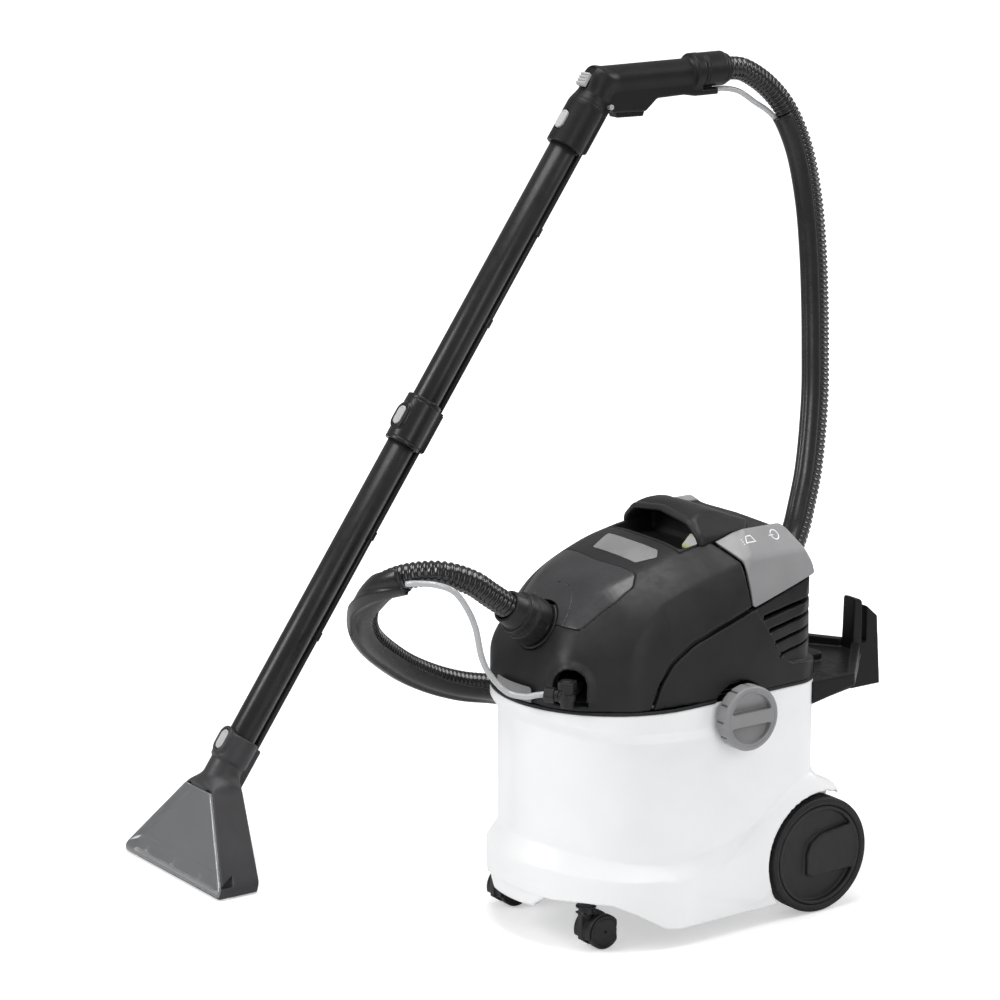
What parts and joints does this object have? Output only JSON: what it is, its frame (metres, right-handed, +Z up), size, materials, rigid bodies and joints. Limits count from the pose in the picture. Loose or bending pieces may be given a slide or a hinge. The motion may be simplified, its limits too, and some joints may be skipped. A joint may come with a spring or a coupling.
{
  "type": "spot extractor",
  "caption": "Wheeled spray-and-suction cleaner: bucket base with lift-off motor head, ribbed hose, jointed wand and wide clear-fronted floor nozzle.",
  "frame": {"origin": "floor point on the machine centre plane under the tank, z = 0 on the floor", "axes": "+Z up, -Y towards the hose inlet and front casters, +Y towards the rear wheels, +X the side away from the wand"},
  "size_m": [0.6765, 0.9655, 0.9375],
  "materials": {
    "white_shell": "satin white",
    "black_seal": "matt",
    "tank_grey": "satin",
    "tank_clear": "clear plastic",
    "steel": "brushed",
    "bracket_black": "satin black",
    "tyre_black": "satin",
    "hub_black": "satin black",
    "caster_black": "satin black",
    "head_black": "satin black",
    "inset_grey": "smooth charcoal",
    "badge_grey": "satin grey",
    "inlet_black": "satin black",
    "inner_grey": "matt",
    "panel_grey": "satin mid grey",
    "tab_lime": "gloss lime",
    "knob_grey": "satin mid grey",
    "hose_black": "glossy ribbed",
    "sheath_grey": "smooth satin",
    "spray_clear": "clear tubing",
    "grip_black": "satin black",
    "button_grey": "satin light grey",
    "tube_black": "satin black",
    "nozzle_dark": "satin dark grey",
    "window_clear": "clear plastic"
  },
  "bodies": {
    "base": {"container": "white_shell", "rim_seal": "black_seal", "dirty_water_tank": "tank_grey", "fresh_water_tank": "tank_clear", "rear_axle": "steel", "rear_bracket": "bracket_black", "bracket_screws": "steel", "caster_sockets": "bracket_black"},
    "rear_wheel_left": {"rear_tyre_left": "tyre_black", "rear_hub_left": "hub_black"},
    "rear_wheel_right": {"rear_tyre_right": "tyre_black", "rear_hub_right": "hub_black"},
    "caster_left": {"caster_fork_left": "caster_black", "caster_axle_left": "steel"},
    "caster_right": {"caster_fork_right": "caster_black", "caster_axle_right": "steel"},
    "caster_roll_left": {"caster_wheels_left": "caster_black"},
    "caster_roll_right": {"caster_wheels_right": "caster_black"},
    "knob_left": {"lock_knob_left": "knob_grey"},
    "knob_right": {"lock_knob_right": "knob_grey"},
    "head": {"head_front_cover": "head_black", "head_rear_cover": "head_black", "inset_panel": "inset_grey", "carry_handle": "head_black", "hand_recess": "head_black", "top_cap": "head_black", "badge_plate": "badge_grey", "front_label": "badge_grey", "inlet_socket": "inlet_black", "head_plate": "inner_grey", "suction_motor": "steel", "fan_housing": "inner_grey", "water_pump": "inner_grey", "float_cage": "white_shell", "spray_elbow": "bracket_black", "cover_screws": "steel", "suction_hose": "hose_black", "hose_sheath": "sheath_grey", "spray_hose": "spray_clear"},
    "switch_left": {"switch_panel_left": "panel_grey"},
    "switch_right": {"switch_panel_right": "panel_grey"},
    "tab": {"release_tab": "tab_lime"},
    "inlet_cuff": {"hose_cuff": "inlet_black"},
    "coupling_nut": {"spray_nut": "inlet_black"},
    "handle_end": {"handle_cuff": "inlet_black"},
    "handle": {"handle_shell_left": "grip_black", "handle_shell_right": "grip_black"},
    "trigger": {"spray_trigger": "grip_black"},
    "slider": {"air_slider": "button_grey"},
    "trigger_catch": {"trigger_lock": "button_grey"},
    "top_button": {"handle_button": "button_grey"},
    "tube_top": {"upper_tube": "tube_black", "spray_line_upper": "tube_black"},
    "tube_bottom": {"lower_tube": "tube_black", "spray_line_lower": "tube_black"},
    "middle_button": {"coupler_button": "button_grey"},
    "nozzle": {"nozzle_body": "nozzle_dark", "nozzle_window": "window_clear", "spray_jet": "tube_black"},
    "low_button": {"nozzle_button": "button_grey"}
  },
  "joints": [
    {"name": "rear_wheel_left_roll", "type": "hinge", "parent": "base", "child": "rear_wheel_left", "pos_m": [0, 0.148, 0.0695], "axis": [1, 0, 0], "continuous": true},
    {"name": "rear_wheel_right_roll", "type": "hinge", "parent": "base", "child": "rear_wheel_right", "pos_m": [0, 0.148, 0.0695], "axis": [1, 0, 0], "continuous": true},
    {"name": "caster_left_swivel", "type": "hinge", "parent": "base", "child": "caster_left", "pos_m": [-0.088, -0.15, 0.06], "axis": [0, 0, 1], "continuous": true},
    {"name": "caster_right_swivel", "type": "hinge", "parent": "base", "child": "caster_right", "pos_m": [0.088, -0.15, 0.06], "axis": [0, 0, 1], "continuous": true},
    {"name": "caster_left_roll", "type": "hinge", "parent": "caster_left", "child": "caster_roll_left", "pos_m": [-0.088, -0.133, 0.0205], "axis": [1, 0, 0], "continuous": true},
    {"name": "caster_right_roll", "type": "hinge", "parent": "caster_right", "child": "caster_roll_right", "pos_m": [0.088, -0.133, 0.0205], "axis": [1, 0, 0], "continuous": true},
    {"name": "knob_left_turn", "type": "hinge", "parent": "base", "child": "knob_left", "pos_m": [-0.15, 0.028, 0.262], "axis": [1, 0, 0], "range_deg": [0, 90]},
    {"name": "knob_right_turn", "type": "hinge", "parent": "base", "child": "knob_right", "pos_m": [0.15, 0.028, 0.262], "axis": [1, 0, 0], "range_deg": [-90, 0]},
    {"name": "head_lift_off", "type": "slide", "parent": "base", "child": "head", "axis": [0, 0, 1], "range_m": [0, 0.06]},
    {"name": "switch_left_press", "type": "slide", "parent": "head", "child": "switch_left", "axis": [0, 0, -1], "range_m": [0, 0.002], "stiffness_N_per_m": 1500, "springref_m": -0.001},
    {"name": "switch_right_press", "type": "slide", "parent": "head", "child": "switch_right", "axis": [0, 0, -1], "range_m": [0, 0.002], "stiffness_N_per_m": 1500, "springref_m": -0.001},
    {"name": "tab_press", "type": "slide", "parent": "head", "child": "tab", "axis": [0, 0, -1], "range_m": [0, 0.002], "stiffness_N_per_m": 500, "springref_m": -0.001},
    {"name": "inlet_cuff_swivel", "type": "hinge", "parent": "head", "child": "inlet_cuff", "pos_m": [0, -0.15, 0.362], "axis": [0, -0.8387, 0.5446], "continuous": true},
    {"name": "coupling_nut_turn", "type": "hinge", "parent": "head", "child": "coupling_nut", "pos_m": [0.08444, -0.17518, 0.304], "axis": [-0.829, -0.5592, 0], "range_deg": [0, 90]},
    {"name": "hose_end_swivel", "type": "hinge", "parent": "head", "child": "handle_end", "pos_m": [-0.3995, 0.38, 0.915], "axis": [0, 1, 0], "continuous": true},
    {"name": "wand_swing", "type": "hinge", "parent": "head", "child": "handle", "pos_m": [-0.3995, 0.36, 0.915], "axis": [0, 1, 0], "range_deg": [0, 20]},
    {"name": "trigger_pull", "type": "hinge", "parent": "handle", "child": "trigger", "pos_m": [-0.3995, 0.241, 0.876], "axis": [1, 0, 0], "range_deg": [0, 4], "stiffness_Nm_per_rad": 0.5, "springref_deg": -5.73},
    {"name": "slider_move", "type": "slide", "parent": "handle", "child": "slider", "axis": [0, 0.575, 0.8181], "range_m": [0, 0.008]},
    {"name": "trigger_catch_press", "type": "slide", "parent": "handle", "child": "trigger_catch", "axis": [-1, 0, 0], "range_m": [0, 0.002], "stiffness_N_per_m": 300, "springref_m": -0.001},
    {"name": "top_button_press", "type": "slide", "parent": "handle", "child": "top_button", "axis": [0, 0.8181, -0.575], "range_m": [0, 0.002], "stiffness_N_per_m": 500, "springref_m": -0.001},
    {"name": "upper_tube_pull", "type": "slide", "parent": "handle", "child": "tube_top", "axis": [0, -0.575, -0.8181], "range_m": [0, 0.03]},
    {"name": "lower_tube_pull", "type": "slide", "parent": "tube_top", "child": "tube_bottom", "axis": [0, -0.575, -0.8181], "range_m": [0, 0.03]},
    {"name": "middle_button_press", "type": "slide", "parent": "tube_bottom", "child": "middle_button", "axis": [0, 0.8181, -0.575], "range_m": [0, 0.002], "stiffness_N_per_m": 500, "springref_m": -0.001},
    {"name": "nozzle_pull", "type": "slide", "parent": "tube_bottom", "child": "nozzle", "axis": [0, -0.575, -0.8181], "range_m": [0, 0.03]},
    {"name": "low_button_press", "type": "slide", "parent": "nozzle", "child": "low_button", "axis": [0, 0.8181, -0.575], "range_m": [0, 0.002], "stiffness_N_per_m": 500, "springref_m": -0.001}
  ]
}
